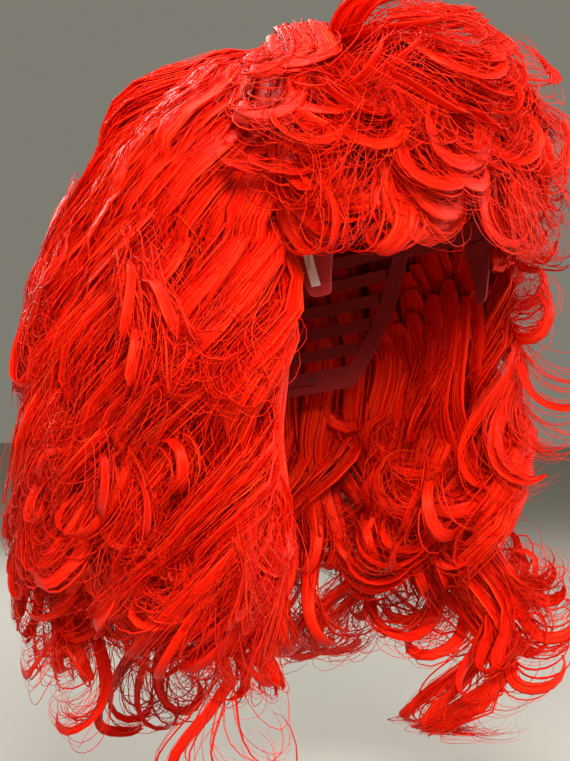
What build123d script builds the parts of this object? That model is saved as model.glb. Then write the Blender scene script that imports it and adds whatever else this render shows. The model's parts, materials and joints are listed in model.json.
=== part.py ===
from build123d import *
from math import atan, cos, radians, sin, sqrt

import os

# Long wavy costume wig: a sewn open-weft cap, its nape adjusters, and the hair in named sections.
# Frame: +Z up along the hanging hair, the face opening towards -Y, the wearer's right side at -X.
# The origin is the centre of the head space, on the ear-to-ear axis of the cap. Sizes in millimetres.

# ---- Head space: a spheroid about the ear-to-ear axis ----
HEAD_HALF_WIDTH = 78.0
HEAD_RADIUS = 100.0  # front, top and back distance from the ear-to-ear axis
HEAD_TILT = 12.0  # the cap sits tilted back by this many degrees, with the hair hanging plumb

# ---- Cap fabrics, as layers on the spheroid ----
CAP_THICKNESS = 1.2
RIBBON_THICKNESS = 0.9
TRACK_THICKNESS = 1.6
LAYER_GAP = 0.2  # between stacked layers
SEAM_GAP = 0.5  # between neighbouring pieces of one layer
HAIR_CLEARANCE = 1.0  # from the weft tracks to the hair

# ---- Cap outline seen from the side, as heights (z) and depths (y) in the cap's own axes ----
RIM_FRONT_Z = 34.0
FRONT_BAND_WIDTH = 13.0
TEMPLE_Y = -54.0
EAR_TOP_Z = 8.0
EAR_BACK_Y = 7.0
SIDE_BAND_WIDTH = 10.0
NAPE_CORNER_Y = 42.0
NAPE_BOTTOM_Z = -58.0
NAPE_BAND_WIDTH = 13.0
NET_BACK_Z = 42.0
NET_TEMPLE_Y = -30.0  # in front of this depth the net runs down to the side band

# ---- Weft rows and lining ribbons ----
WEFT_ROW_HEIGHT = 6.5
WEFT_ROW_PITCH = 12.5
WEFT_ROWS = 6
TRACK_HEIGHT = 3.0
CROWN_TRACKS = 5
CROWN_TRACK_PITCH = 10.0
CENTRE_RIBBON_WIDTH = 12.0
SIDE_RIBBON_WIDTH = 8.0
SIDE_RIBBON_X = 36.0

# ---- Ear tabs ----
TAB_FRONT_Y = -62.0
TAB_LENGTH_Y = 25.0
TAB_DROP = 33.0
TAB_TIP_LENGTH = 9.0
TAB_TIP_BACK = 2.0  # the tip lies this far behind the middle of the tab
TAB_CORNER_RADIUS = 3.0
TAB_BEND_GAP = 1.0  # between the tab and the band that it bends from
STAY_WIDTH = 4.0
STAY_THICKNESS = 0.6
STAY_MARGIN = 5.0

# ---- Nape adjusters: plates on a cone round the nape, with angles in degrees from the back middle ----
ADJUSTER_INSET = 1.3  # from the arc of the nape to the back of the tape
TAPE_HALF_HEIGHT = 4.6
TAPE_THICKNESS = 1.0
TAPE_START = 3.0
TAPE_END = 33.0
LOOP_COUNT = 4
LOOP_START = 6.0
LOOP_PITCH = 7.0
LOOP_ARC = 2.4
LOOP_WALL = 0.8
LOOP_CLEARANCE = 0.35  # round the hook, on every side
HOOK_HALF_HEIGHT = 2.6
HOOK_THICKNESS = 0.9
HOOK_START = 23.0
HOOK_END = 35.0
HOOK_EYE_ARC = 2.0
HOOK_EYE_WALL_ARC = 1.5
HOOK_EYE_HALF_HEIGHT = 1.5
STRAP_GAP_ARC = 0.3
ELASTIC_HALF_HEIGHT = 2.2
ELASTIC_THICKNESS = 0.7
ELASTIC_END = 52.0
ANCHOR_ARC = 4.0
ANCHOR_DEPTH = 0.6
CONE_LEAN_SHARE = 0.93  # the cone leans a little less than the cap does at the back middle

# ---- Hair ----
HAIR_AXIS_Y = 12.0  # the hair hangs round a plumb axis this far behind the head's centre
HAIR_GAP = 1.2  # between neighbouring hair solids
HAIR_SPLIT_Z = 10.0  # where the hanging hair parts from the crown hair
FACE_HALF_ANGLE = 58.0  # from the middle of the face to the front edge of the side hair
SECTIONS = ("side_right", "back_right", "back_left", "side_left")  # round from the wearer's right
LOCKS_PER_SECTION = 3
CROWN_TOP_RADIUS = 58.0
NECK_RADIUS = 84.0
FRINGE_HINGE_RADIUS = 125.0  # each fringe lock lifts about the outer edge of its sloping top face
FRINGE_HINGE_Z = 88.0
FRINGE_ROOT_RADIUS = 88.0
FRINGE_ROOT_Z = 60.0
FRINGE_LOCKS = ("left", "centre", "right")
# Outer outline of the crown and hanging hair, as (radius, height) from the top down.
HAIR_OUTLINE = (
    (0, 128), (48, 121), (84, 97), (106, 62), (117, 28), (130, 0), (143, -36), (149, -84),
    (150, -134), (147, -180), (137, -218), (120, -242), (100, -250), (82, -246),
)
# The same for the hair over the forehead, which stands further forward.
FRINGE_OUTLINE = ((0, 128), (60, 125), (102, 112), (125, 88), (131, 64), (120, 45), (96, 40))

WIDE = 400.0  # longer than any piece, for cutting shapes
NET_LAYER = (0.0, CAP_THICKNESS)
RIBBON_LAYER = (-LAYER_GAP - RIBBON_THICKNESS, -LAYER_GAP)
TRACK_LAYER = (CAP_THICKNESS + LAYER_GAP, CAP_THICKNESS + LAYER_GAP + TRACK_THICKNESS)
STAY_LAYER = (CAP_THICKNESS + LAYER_GAP, CAP_THICKNESS + LAYER_GAP + STAY_THICKNESS)
HAIR_INNER_OFFSET = TRACK_LAYER[1] + HAIR_CLEARANCE

temple_z = EAR_TOP_Z - SIDE_BAND_WIDTH / 2
ear_high_z = EAR_TOP_Z + SIDE_BAND_WIDTH
nape_top_z = NAPE_BOTTOM_Z + NAPE_BAND_WIDTH
nodes = {}


# ---- Building blocks ----
def spheroid(offset):
    """The head space grown by an offset, as a solid of revolution about the ear-to-ear axis."""
    half_width = HEAD_HALF_WIDTH + offset
    arc = EllipticalCenterArc((0, 0), half_width, HEAD_RADIUS + offset, 0, arc_size=180)
    return revolve(make_face([arc, Line((-half_width, 0), (half_width, 0))]), Axis.X, 360)


def shell(layer):
    """A layer of fabric over the head, between two offsets."""
    inner, outer = layer
    return spheroid(outer) - spheroid(inner)


def side_prism(points):
    """A side-view outline of (y, z) points, drawn through the whole width."""
    return extrude(make_face(Plane.YZ * Polyline(*points, close=True)), WIDE, both=True)


def right_half(solid):
    """The half of a solid on the wearer's right."""
    return solid & Pos(-WIDE / 2, 0, 0) * Box(WIDE, 2 * WIDE, 2 * WIDE)


def level_slab(low, high):
    """All the space between two heights."""
    return Pos(0, 0, (low + high) / 2) * Box(2 * WIDE, 2 * WIDE, high - low)


def width_slab(low, high):
    """All the space between two planes across the head."""
    return Pos((low + high) / 2, 0, 0) * Box(high - low, 2 * WIDE, 2 * WIDE)


def plumb_cylinder(radius):
    """All the space within a radius of the hair's axis."""
    return Pos(0, HAIR_AXIS_Y, 0) * Cylinder(radius, 2 * WIDE)


def toward(angle):
    """The level direction at an azimuth in radians, from the face towards the wearer's right."""
    return Vector(-sin(angle), -cos(angle))


def wedge(start, end):
    """The space between two azimuths in degrees round the hair's axis, less half a gap at each side."""
    middle, half = radians((start + end) / 2), radians((end - start) / 2)
    apex = toward(middle) * (HAIR_GAP / 2 / sin(half))
    rim = [apex + toward(middle + half * share) * WIDE for share in (-1, 0, 1)]
    outline = make_face(Polyline(apex, *rim, close=True))
    return Pos(0, HAIR_AXIS_Y, 0) * extrude(outline, WIDE, both=True)


def keep(name, shape):
    """Stores a node, as one solid or as a group of separate ones."""
    solids = list(shape.solids())
    nodes[name] = solids[0] if len(solids) == 1 else Compound(children=solids)


def keep_cap_piece(name, shape):
    """Stores a piece of the cap, tilted back with the head."""
    keep(name, Rot(-HEAD_TILT, 0, 0) * shape)


def keep_cap_pair(name, right):
    """Stores a piece of the cap on the wearer's right and its mirror image on the left."""
    keep_cap_piece(f"{name}_right", right)
    keep_cap_piece(f"{name}_left", mirror(right, Plane.YZ))


# ---- Cap fabrics ----
def hairline(y, rise=0.0):
    """The height at a depth of the hairline's edge, or of a line parallel to it."""
    return temple_z + rise + (RIM_FRONT_Z - temple_z) * (TEMPLE_Y - y) / (TEMPLE_Y + HEAD_RADIUS)


def hairline_depth(z, rise=0.0):
    """The depth (y) where the hairline, or a line parallel to it, reaches a height."""
    return TEMPLE_Y - (z - temple_z - rise) * (TEMPLE_Y + HEAD_RADIUS) / (RIM_FRONT_Z - temple_z)


def hairline_strip(low, high):
    """A prism between two lines parallel to the hairline, from the temples forward."""
    near, far = TEMPLE_Y, -1.3 * HEAD_RADIUS
    return side_prism([
        (near, hairline(near, low)), (far, hairline(far, low)),
        (far, hairline(far, high)), (near, hairline(near, high)),
    ])


def side_band_back(z):
    """The depth (y) of the side band's rear edge at a height."""
    low = NAPE_CORNER_Y + SIDE_BAND_WIDTH
    high = EAR_BACK_Y + SIDE_BAND_WIDTH / 2
    return low + (high - low) * (z - NAPE_BOTTOM_Z) / (ear_high_z - NAPE_BOTTOM_Z)


def make_side_bands(cap):
    """The bands from the temple over each ear, then down behind it to the nape."""
    front = TEMPLE_Y + SEAM_GAP
    keep_cap_pair("side_band", right_half(cap) & side_prism([
        (front, temple_z), (EAR_BACK_Y, EAR_TOP_Z), (NAPE_CORNER_Y, NAPE_BOTTOM_Z),
        (side_band_back(NAPE_BOTTOM_Z), NAPE_BOTTOM_Z), (side_band_back(ear_high_z), ear_high_z),
        (front, temple_z + SIDE_BAND_WIDTH),
    ]))


def make_cap_fabrics(cap):
    """The front and nape bands and the crown net, all in the cap's own layer."""
    keep_cap_piece("front_band", cap & hairline_strip(0, FRONT_BAND_WIDTH))
    keep_cap_piece("nape_band", cap & side_prism([
        (side_band_back(NAPE_BOTTOM_Z) + SEAM_GAP, NAPE_BOTTOM_Z), (WIDE, NAPE_BOTTOM_Z),
        (WIDE, nape_top_z), (side_band_back(nape_top_z) + SEAM_GAP, nape_top_z),
    ]))
    rise, far = FRONT_BAND_WIDTH + SEAM_GAP, -1.3 * HEAD_RADIUS
    temple_net_z = ear_high_z + SEAM_GAP
    net = cap & side_prism([
        (hairline_depth(temple_net_z, rise), temple_net_z), (NET_TEMPLE_Y, temple_net_z),
        (NET_TEMPLE_Y, NET_BACK_Z), (WIDE, NET_BACK_Z), (WIDE, WIDE), (far, WIDE),
        (far, hairline(far, rise)),
    ])
    keep_cap_pair("crown_net", right_half(Pos(SEAM_GAP / 2, 0, 0) * net))


def row_start(z):
    """Where a weft row starts: behind the side band, or behind the net's temple higher up."""
    return (side_band_back(z) if z < ear_high_z else NET_TEMPLE_Y) + SEAM_GAP


def row_strip(start, low, high):
    """A prism round the back between two heights."""
    return side_prism([(start, low), (WIDE, low), (WIDE, high), (start, high)])


def make_weft_rows(cap, tracks):
    """The stretch ribbons across the back, each with its sewn hair track outside."""
    for row in range(WEFT_ROWS):
        low = nape_top_z + WEFT_ROW_PITCH * (row + 1) - WEFT_ROW_HEIGHT
        start, track_low = row_start(low), low + (WEFT_ROW_HEIGHT - TRACK_HEIGHT) / 2
        keep_cap_piece(f"weft_ribbon_{row + 1}", cap & row_strip(start, low, low + WEFT_ROW_HEIGHT))
        strip = row_strip(start, track_low, track_low + TRACK_HEIGHT)
        keep_cap_piece(f"weft_track_{row + 1}", tracks & strip)


def make_crown_tracks(tracks):
    """The hair tracks sewn round the crown net, and the fringe's along the front band."""
    first = NET_BACK_Z + CROWN_TRACK_PITCH / 2
    rings = []
    for k in range(CROWN_TRACKS):
        low = first + CROWN_TRACK_PITCH * k
        rings += (tracks & level_slab(low, low + TRACK_HEIGHT)).solids()
    keep_cap_piece("crown_weft_tracks", Compound(children=rings))
    rise = (FRONT_BAND_WIDTH - TRACK_HEIGHT) / 2
    below_rings = level_slab(-WIDE, first - SEAM_GAP)
    keep_cap_piece("fringe_weft_track", tracks & hairline_strip(rise, rise + TRACK_HEIGHT) & below_rings)


def make_lining_ribbons(ribbons):
    """The ribbons inside the cap that carry the weft rows, from the nape band forward."""
    above_nape = ribbons & level_slab(nape_top_z, WIDE)
    half = CENTRE_RIBBON_WIDTH / 2
    above_hairline = side_prism([
        (TEMPLE_Y, -WIDE), (WIDE, -WIDE), (WIDE, WIDE), (-WIDE, WIDE),
        (-WIDE, hairline(-WIDE)), (TEMPLE_Y, temple_z),
    ])
    keep_cap_piece("centre_ribbon", above_nape & width_slab(-half, half) & above_hairline)
    half = SIDE_RIBBON_WIDTH / 2
    strip = above_nape & width_slab(-SIDE_RIBBON_X - half, half - SIDE_RIBBON_X)
    keep_cap_pair("side_ribbon", strip & Pos(0, WIDE / 2, 0) * Box(2 * WIDE, WIDE, 2 * WIDE))


# ---- Ear tabs ----
def make_ear_tabs(cap):
    """The tabs in front of the ears, each with a bendable stay on its outside."""
    top = temple_z - TAB_BEND_GAP
    middle = TAB_FRONT_Y + TAB_LENGTH_Y / 2 + TAB_TIP_BACK
    half = TAB_TIP_LENGTH / 2
    tab = side_prism([
        (TAB_FRONT_Y, top), (TAB_FRONT_Y + TAB_LENGTH_Y, top),
        (middle + half, top - TAB_DROP), (middle - half, top - TAB_DROP),
    ])
    tab = fillet(tab.edges().filter_by(Axis.X).group_by(Axis.Z)[0], TAB_CORNER_RADIUS)
    keep_cap_pair("ear_tab", right_half(cap) & tab)
    half, high, low = STAY_WIDTH / 2, top - STAY_MARGIN, top - TAB_DROP + STAY_MARGIN
    stay = [(middle - half, high), (middle + half, high), (middle + half, low), (middle - half, low)]
    keep_cap_pair("ear_stay", right_half(shell(STAY_LAYER)) & side_prism(stay))


# ---- Nape adjusters ----
nape_z = (NAPE_BOTTOM_Z + nape_top_z) / 2
nape_share = sqrt(1 - (nape_z / HEAD_RADIUS) ** 2)
nape_half_width, nape_half_depth = HEAD_HALF_WIDTH * nape_share, HEAD_RADIUS * nape_share
# The centre of the circle through the nape's back middle and its ellipse's point at 45 degrees.
nape_axis_y = (nape_half_depth**2 - nape_half_width**2) / (2 * nape_half_depth * (2 - sqrt(2)))
nape_radius = nape_half_depth - nape_axis_y
nape_lean = atan(-nape_z / nape_half_depth) * CONE_LEAN_SHARE


def arc_plate(half_height, inward, start, end):
    """A plate on the nape cone's right side, by its depth inwards and its two angles from the back."""
    up, inn = Vector(sin(nape_lean), cos(nape_lean)), Vector(-cos(nape_lean), sin(nape_lean))
    base = Vector(nape_radius - ADJUSTER_INSET, nape_z)
    low, high = inward
    corners = ((-half_height, low), (half_height, low), (half_height, high), (-half_height, high))
    outline = Polyline(*[base + up * along + inn * depth for along, depth in corners], close=True)
    plate = revolve(Plane.XZ * make_face(outline), Axis.Z, end - start)
    return Pos(0, nape_axis_y, 0) * Rot(0, 0, 90 + start) * plate


def make_adjusters():
    """On each side of the nape a tape with belt loops, and the elastic strap whose hook threads them."""
    hook_low = TAPE_THICKNESS + LOOP_CLEARANCE
    hook_high = hook_low + HOOK_THICKNESS
    roof, tunnel = hook_high + LOOP_CLEARANCE, HOOK_HALF_HEIGHT + LOOP_CLEARANCE
    keep_cap_pair("loop_tape", arc_plate(TAPE_HALF_HEIGHT, (0, TAPE_THICKNESS), TAPE_START, TAPE_END))
    loops = []
    for k in range(LOOP_COUNT):
        start = LOOP_START + LOOP_PITCH * k
        arch = arc_plate(tunnel + LOOP_WALL, (TAPE_THICKNESS, roof + LOOP_WALL), start, start + LOOP_ARC)
        loops += (arch - arc_plate(tunnel, (0, roof), start - 1, start + LOOP_ARC + 1)).solids()
    keep_cap_pair("tape_loops", Compound(children=loops))

    eye_end = HOOK_END - HOOK_EYE_WALL_ARC
    eye = arc_plate(HOOK_EYE_HALF_HEIGHT, (0, roof), eye_end - HOOK_EYE_ARC, eye_end)
    plate = arc_plate(HOOK_HALF_HEIGHT, (hook_low, hook_high), HOOK_START, HOOK_END)
    keep_cap_pair("strap_hook", plate - eye)
    low = hook_low + (HOOK_THICKNESS - ELASTIC_THICKNESS) / 2
    high = low + ELASTIC_THICKNESS
    strap = arc_plate(ELASTIC_HALF_HEIGHT, (low, high), HOOK_END + STRAP_GAP_ARC, ELASTIC_END)
    keep_cap_pair("elastic_strap", strap)
    start = ELASTIC_END + STRAP_GAP_ARC
    anchor = arc_plate(ELASTIC_HALF_HEIGHT, (-ANCHOR_DEPTH, high), start, start + ANCHOR_ARC)
    keep_cap_pair("strap_anchor", anchor)


# ---- Hair ----
def outline_solid(outline):
    """A solid of revolution about the hair's axis under a smooth outline of (radius, height) points."""
    curve = Spline(*outline, tangents=[(1, 0), (-1, 0.2)])
    r_end, z_end = outline[-1]
    rest = Polyline((r_end, z_end), (0, z_end), (0, outline[0][1]))
    return Pos(0, HAIR_AXIS_Y, 0) * revolve(Plane.XZ * make_face([curve, rest]), Axis.Z, 360)


def make_crown_and_hanging_hair(head):
    """The crown hair, and under it the hanging sections of three locks each round the neck space."""
    neck = plumb_cylinder(NECK_RADIUS) & level_slab(-WIDE, 0)
    body = outline_solid(HAIR_OUTLINE) - head - neck
    hanging = body & level_slab(-WIDE, HAIR_SPLIT_Z - HAIR_GAP)
    above = body & level_slab(HAIR_SPLIT_Z, WIDE)
    keep("crown_hair_top", above & plumb_cylinder(CROWN_TOP_RADIUS - HAIR_GAP))
    crown = above - plumb_cylinder(CROWN_TOP_RADIUS)
    section_arc = (360 - 2 * FACE_HALF_ANGLE) / len(SECTIONS)
    lock_arc = section_arc / LOCKS_PER_SECTION
    for index, section in enumerate(SECTIONS):
        start = FACE_HALF_ANGLE + section_arc * index
        keep(f"crown_hair_{section}", crown & wedge(start, start + section_arc))
        for lock in range(LOCKS_PER_SECTION):
            low = start + lock_arc * lock
            keep(f"{section}_lock_{lock + 1}", hanging & wedge(low, low + lock_arc))


def above_fringe():
    """The space over a cone that drops from the fringe's hinge line in to its roots."""
    slope = (FRINGE_HINGE_Z - FRINGE_ROOT_Z) / (FRINGE_HINGE_RADIUS - FRINGE_ROOT_RADIUS)
    side = Polyline(
        (0, FRINGE_HINGE_Z - slope * FRINGE_HINGE_RADIUS), (FRINGE_HINGE_RADIUS, FRINGE_HINGE_Z),
        (WIDE, FRINGE_HINGE_Z), (WIDE, WIDE), (0, WIDE), close=True,
    )
    return Pos(0, HAIR_AXIS_Y, 0) * revolve(Plane.XZ * make_face(side), Axis.Z, 360)


def make_fringe(head):
    """The hair over the forehead: one piece on the crown, and three fringe locks under it."""
    front = outline_solid(FRINGE_OUTLINE) - head - plumb_cylinder(CROWN_TOP_RADIUS)
    above = above_fringe()
    keep("crown_hair_front", front & above & wedge(-FACE_HALF_ANGLE, FACE_HALF_ANGLE))
    lower = front - Pos(0, 0, -HAIR_GAP) * above
    lock_arc = 2 * FACE_HALF_ANGLE / len(FRINGE_LOCKS)
    for index, word in enumerate(FRINGE_LOCKS):
        start = lock_arc * index - FACE_HALF_ANGLE
        keep(f"fringe_{word}", lower & wedge(start, start + lock_arc))


cap_layer, track_layer = shell(NET_LAYER), shell(TRACK_LAYER)
hair_inside = spheroid(HAIR_INNER_OFFSET)
make_cap_fabrics(cap_layer)
make_side_bands(cap_layer)
make_weft_rows(cap_layer, track_layer)
make_crown_tracks(track_layer)
make_lining_ribbons(shell(RIBBON_LAYER))
make_ear_tabs(cap_layer)
make_adjusters()
make_crown_and_hanging_hair(hair_inside)
make_fringe(hair_inside)

os.makedirs("parts", exist_ok=True)
for name, shape in nodes.items():
    export_step(shape, f"parts/{name}.step")
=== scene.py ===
"""Looks of the long wavy costume wig, on the frame of its CAD parts.

The hair is grown as closed tapered fibres, ribbons and lock sheets, gathered into locks, bundles and
sections. The cap under it keeps its CAD pieces, which get cloth, net, stitched, plastic and steel finishes.
Lengths are in metres and angles in radians. An azimuth runs round from the face towards the wearer's right.
"""

import json
import logging
import math
from dataclasses import dataclass
from enum import Enum
from typing import Iterable, Optional, Sequence, Union

import bpy
import numpy as np
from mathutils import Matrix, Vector

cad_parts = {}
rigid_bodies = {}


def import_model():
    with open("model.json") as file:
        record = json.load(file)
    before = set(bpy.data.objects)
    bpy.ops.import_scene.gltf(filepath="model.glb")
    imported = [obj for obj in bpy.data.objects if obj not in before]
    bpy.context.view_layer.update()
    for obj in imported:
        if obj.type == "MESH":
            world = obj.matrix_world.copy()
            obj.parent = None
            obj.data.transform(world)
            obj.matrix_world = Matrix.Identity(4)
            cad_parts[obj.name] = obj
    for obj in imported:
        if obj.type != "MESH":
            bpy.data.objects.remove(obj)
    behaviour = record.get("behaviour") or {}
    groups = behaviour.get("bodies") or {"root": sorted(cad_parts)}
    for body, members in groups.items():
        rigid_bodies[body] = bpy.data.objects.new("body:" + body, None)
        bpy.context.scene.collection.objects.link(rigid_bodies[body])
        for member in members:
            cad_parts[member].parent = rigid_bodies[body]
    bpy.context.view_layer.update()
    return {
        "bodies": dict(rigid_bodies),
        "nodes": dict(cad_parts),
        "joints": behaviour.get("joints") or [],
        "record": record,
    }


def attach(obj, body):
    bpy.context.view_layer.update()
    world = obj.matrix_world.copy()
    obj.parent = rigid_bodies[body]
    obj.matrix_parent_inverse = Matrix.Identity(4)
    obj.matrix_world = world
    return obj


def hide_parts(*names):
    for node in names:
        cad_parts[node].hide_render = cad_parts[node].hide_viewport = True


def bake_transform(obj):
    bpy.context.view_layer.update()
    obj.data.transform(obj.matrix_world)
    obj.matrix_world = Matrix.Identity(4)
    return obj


logging.basicConfig(level=logging.INFO, format="%(name)s: %(message)s")
log = logging.getLogger("wig")

Array = np.ndarray
Limits = tuple[float, float]
Place = tuple[float, float, float]
Colour = tuple[float, float, float, float]

TAU = 2 * math.pi
CAP_TILT = math.radians(12.0)
FACE_HALF_ANGLE = math.radians(58.0)
TONE_MAP = "OFBake"


# ---------------------------------------------------------------------------------------------
# Named options
# ---------------------------------------------------------------------------------------------
class Section(Enum):
    """The hanging sections, round from the wearer's right."""

    SIDE_RIGHT = "side_right"
    BACK_RIGHT = "back_right"
    BACK_LEFT = "back_left"
    SIDE_LEFT = "side_left"


class FringeLock(Enum):
    """The fringe's locks, round towards the wearer's right."""

    LEFT = "left"
    CENTRE = "centre"
    RIGHT = "right"


class Slot(Enum):
    """The material slots of the CAD nodes."""

    HAIR = "hair"
    NET = "net"
    STITCHING = "weft_stitching"
    ELASTIC = "elastic"
    BAND = "band"
    TAPE = "tape"
    STAY = "stay_plastic"
    HOOK = "hook_metal"


# ---------------------------------------------------------------------------------------------
# Shader building
# ---------------------------------------------------------------------------------------------
class Socket:
    """One output of a shader node, with arithmetic that adds the maths nodes."""

    def __init__(self, tree: "ShaderTree", socket: bpy.types.NodeSocket) -> None:
        """Wraps an output.

        Args:
            tree: The tree that the socket's node belongs to.
            socket: The output to wrap.
        """
        self.tree = tree
        self.socket = socket

    def _maths(self, operation: str, *values: "Value") -> "Socket":
        """Adds a maths node.

        Args:
            operation: The node's operation.
            values: Its inputs in order.

        Returns:
            Its result.
        """
        return self.tree.add("ShaderNodeMath", {"operation": operation}, dict(enumerate(values)))

    def __add__(self, other: "Value") -> "Socket":
        """Returns: this value plus another."""
        return self._maths("ADD", self, other)

    def __radd__(self, other: "Value") -> "Socket":
        """Returns: another value plus this one."""
        return self._maths("ADD", other, self)

    def __sub__(self, other: "Value") -> "Socket":
        """Returns: this value less another."""
        return self._maths("SUBTRACT", self, other)

    def __rsub__(self, other: "Value") -> "Socket":
        """Returns: another value less this one."""
        return self._maths("SUBTRACT", other, self)

    def __mul__(self, other: "Value") -> "Socket":
        """Returns: this value times another."""
        return self._maths("MULTIPLY", self, other)

    def __rmul__(self, other: "Value") -> "Socket":
        """Returns: another value times this one."""
        return self._maths("MULTIPLY", other, self)

    def clamped(self) -> "Socket":
        """Returns: the value held between 0 and 1."""
        return self.tree.add("ShaderNodeClamp", {}, {"Value": self})

    def sine(self) -> "Socket":
        """Returns: the sine of the value."""
        return self._maths("SINE", self)

    def absolute(self) -> "Socket":
        """Returns: the value without its sign."""
        return self._maths("ABSOLUTE", self)


Value = Union[Socket, float, int, Sequence[float]]


class ShaderTree:
    """A material's node tree, filled through one method."""

    def __init__(self, name: str) -> None:
        """Starts an empty material.

        Args:
            name: The material's name.
        """
        self.material = bpy.data.materials.new(name)
        self.material.use_nodes = True
        self.tree = self.material.node_tree
        self.tree.nodes.clear()

    def node(self, kind: str, settings: dict, sockets: dict) -> bpy.types.Node:
        """Adds one node.

        Args:
            kind: The node's type.
            settings: Node properties by name.
            sockets: Input values or links, by input name or number.

        Returns:
            The node.
        """
        node = self.tree.nodes.new(kind)
        for key, value in settings.items():
            setattr(node, key, value)
        for key, value in sockets.items():
            if isinstance(value, Socket):
                self.tree.links.new(value.socket, node.inputs[key])
            else:
                node.inputs[key].default_value = value
        return node

    def add(self, kind: str, settings: dict, sockets: dict, output: Union[int, str] = 0) -> Socket:
        """Adds one node for one of its outputs.

        Args:
            kind: The node's type.
            settings: Node properties by name.
            sockets: Input values or links, by input name or number.
            output: The name or number of the wanted output.

        Returns:
            The wanted output.
        """
        return Socket(self, self.node(kind, settings, sockets).outputs[output])

    def split(self, vector: Socket) -> tuple[Socket, Socket, Socket]:
        """Returns: the three parts of a vector."""
        parts = self.node("ShaderNodeSeparateXYZ", {}, {"Vector": vector})
        return tuple(Socket(self, output) for output in parts.outputs)

    def join(self, x: Value, y: Value, z: Value = 0.0) -> Socket:
        """Returns: a vector made of three parts."""
        return self.add("ShaderNodeCombineXYZ", {}, {"X": x, "Y": y, "Z": z})

    def mix(self, factor: Value, a: Value, b: Value) -> Socket:
        """Returns: a colour between a at factor 0 and b at factor 1."""
        return self.add("ShaderNodeMix", {"data_type": "RGBA"}, {0: factor, 6: a, 7: b}, 2)

    def noise(self, vector: Socket, scale: float, detail: float) -> Socket:
        """Returns: smooth noise from 0 to 1."""
        return self.add("ShaderNodeTexNoise", {}, {"Vector": vector, "Scale": scale, "Detail": detail})

    def object_point(self, tilt: float = 0.0) -> Socket:
        """Returns: the surface point, turned about the ear-to-ear axis by a tilt."""
        point = self.add("ShaderNodeTexCoord", {}, {}, "Object")
        return self.add("ShaderNodeMapping", {}, {"Vector": point, "Rotation": (tilt, 0.0, 0.0)})

    def bump(self, height: Socket, distance: float, strength: float) -> Socket:
        """Returns: a normal bent by a height."""
        return self.add("ShaderNodeBump", {}, {"Height": height, "Distance": distance, "Strength": strength})

    def surface(self, sockets: dict) -> bpy.types.Material:
        """Ends the tree with its surface shader.

        Args:
            sockets: Input values or links of the surface shader.

        Returns:
            The finished material.
        """
        shader = self.add("ShaderNodeBsdfPrincipled", {}, sockets)
        self.node("ShaderNodeOutputMaterial", {}, {"Surface": shader})
        return self.material


def shaded(colour: Colour, share: float) -> Colour:
    """Returns: a colour at a share of its brightness."""
    return tuple(c * share for c in colour[:3]) + (1.0,)


# ---------------------------------------------------------------------------------------------
# Finishes
# ---------------------------------------------------------------------------------------------
@dataclass(frozen=True)
class HairFibre:
    """Glossy synthetic fibre, toned by its own map: across the map by strand, along it from root to tip. The
    tone is partly the fibres' own random tone and partly painted shade between fibres, painted highlight
    streaks and painted shade at the roots.
    """

    # The deep and bright colours are partly the fibres' own random tone, partly painted shade between fibres
    # and painted highlight streaks.
    deep: Colour = (0.44, 0.0010, 0.0003, 1.0)
    body: Colour = (0.84, 0.006, 0.0012, 1.0)
    bright: Colour = (1.0, 0.055, 0.008, 1.0)
    sheen: Colour = (1.0, 0.22, 0.10, 1.0)
    gloss: float = 0.5
    roughness: float = 0.36
    roughness_spread: float = 0.16
    fine_across: float = 130.0  # noise cells across the whole map
    fine_along: float = 2.5
    fine_contrast: float = 2.4
    slow_across: float = 26.0
    slow_along: float = 1.3
    slow_layer: float = 4.0
    slow_contrast: float = 0.8
    brightness: float = 0.1
    root_fade: float = 6.0  # the painted shade at the root is gone at this fraction of the strand
    root_shade: float = 0.5
    relief: float = 0.0004
    relief_strength: float = 0.6

    def build(self) -> bpy.types.Material:
        """Returns: the material."""
        t = ShaderTree("hair_fibre")
        across, along, _ = t.split(t.add("ShaderNodeUVMap", {"uv_map": TONE_MAP}, {}))
        fine = t.noise(t.join(across * self.fine_across, along * self.fine_along), 1.0, 3.0)
        slow = t.noise(t.join(across * self.slow_across, along * self.slow_along, self.slow_layer), 1.0, 1.0)
        # The streak noise mixes the fibres' random tone with painted shade between fibres and painted
        # highlight streaks.
        tone = ((fine - 0.5) * self.fine_contrast + slow * self.slow_contrast + self.brightness).clamped()
        # Painted shade: the strands darken towards their roots, where they lie under the rest of the hair.
        root = (1.0 - along * self.root_fade).clamped()
        tone = (tone - root * self.root_shade).clamped()
        low = t.mix((tone * 2.0).clamped(), self.deep, self.body)
        return t.surface({
            "Base Color": t.mix((tone * 2.0 - 1.0).clamped(), low, self.bright),
            "Roughness": self.roughness + self.roughness_spread * fine,
            "Specular IOR Level": self.gloss, "Specular Tint": self.sheen,
            "Normal": t.bump(fine, self.relief, self.relief_strength),
        })


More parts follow.
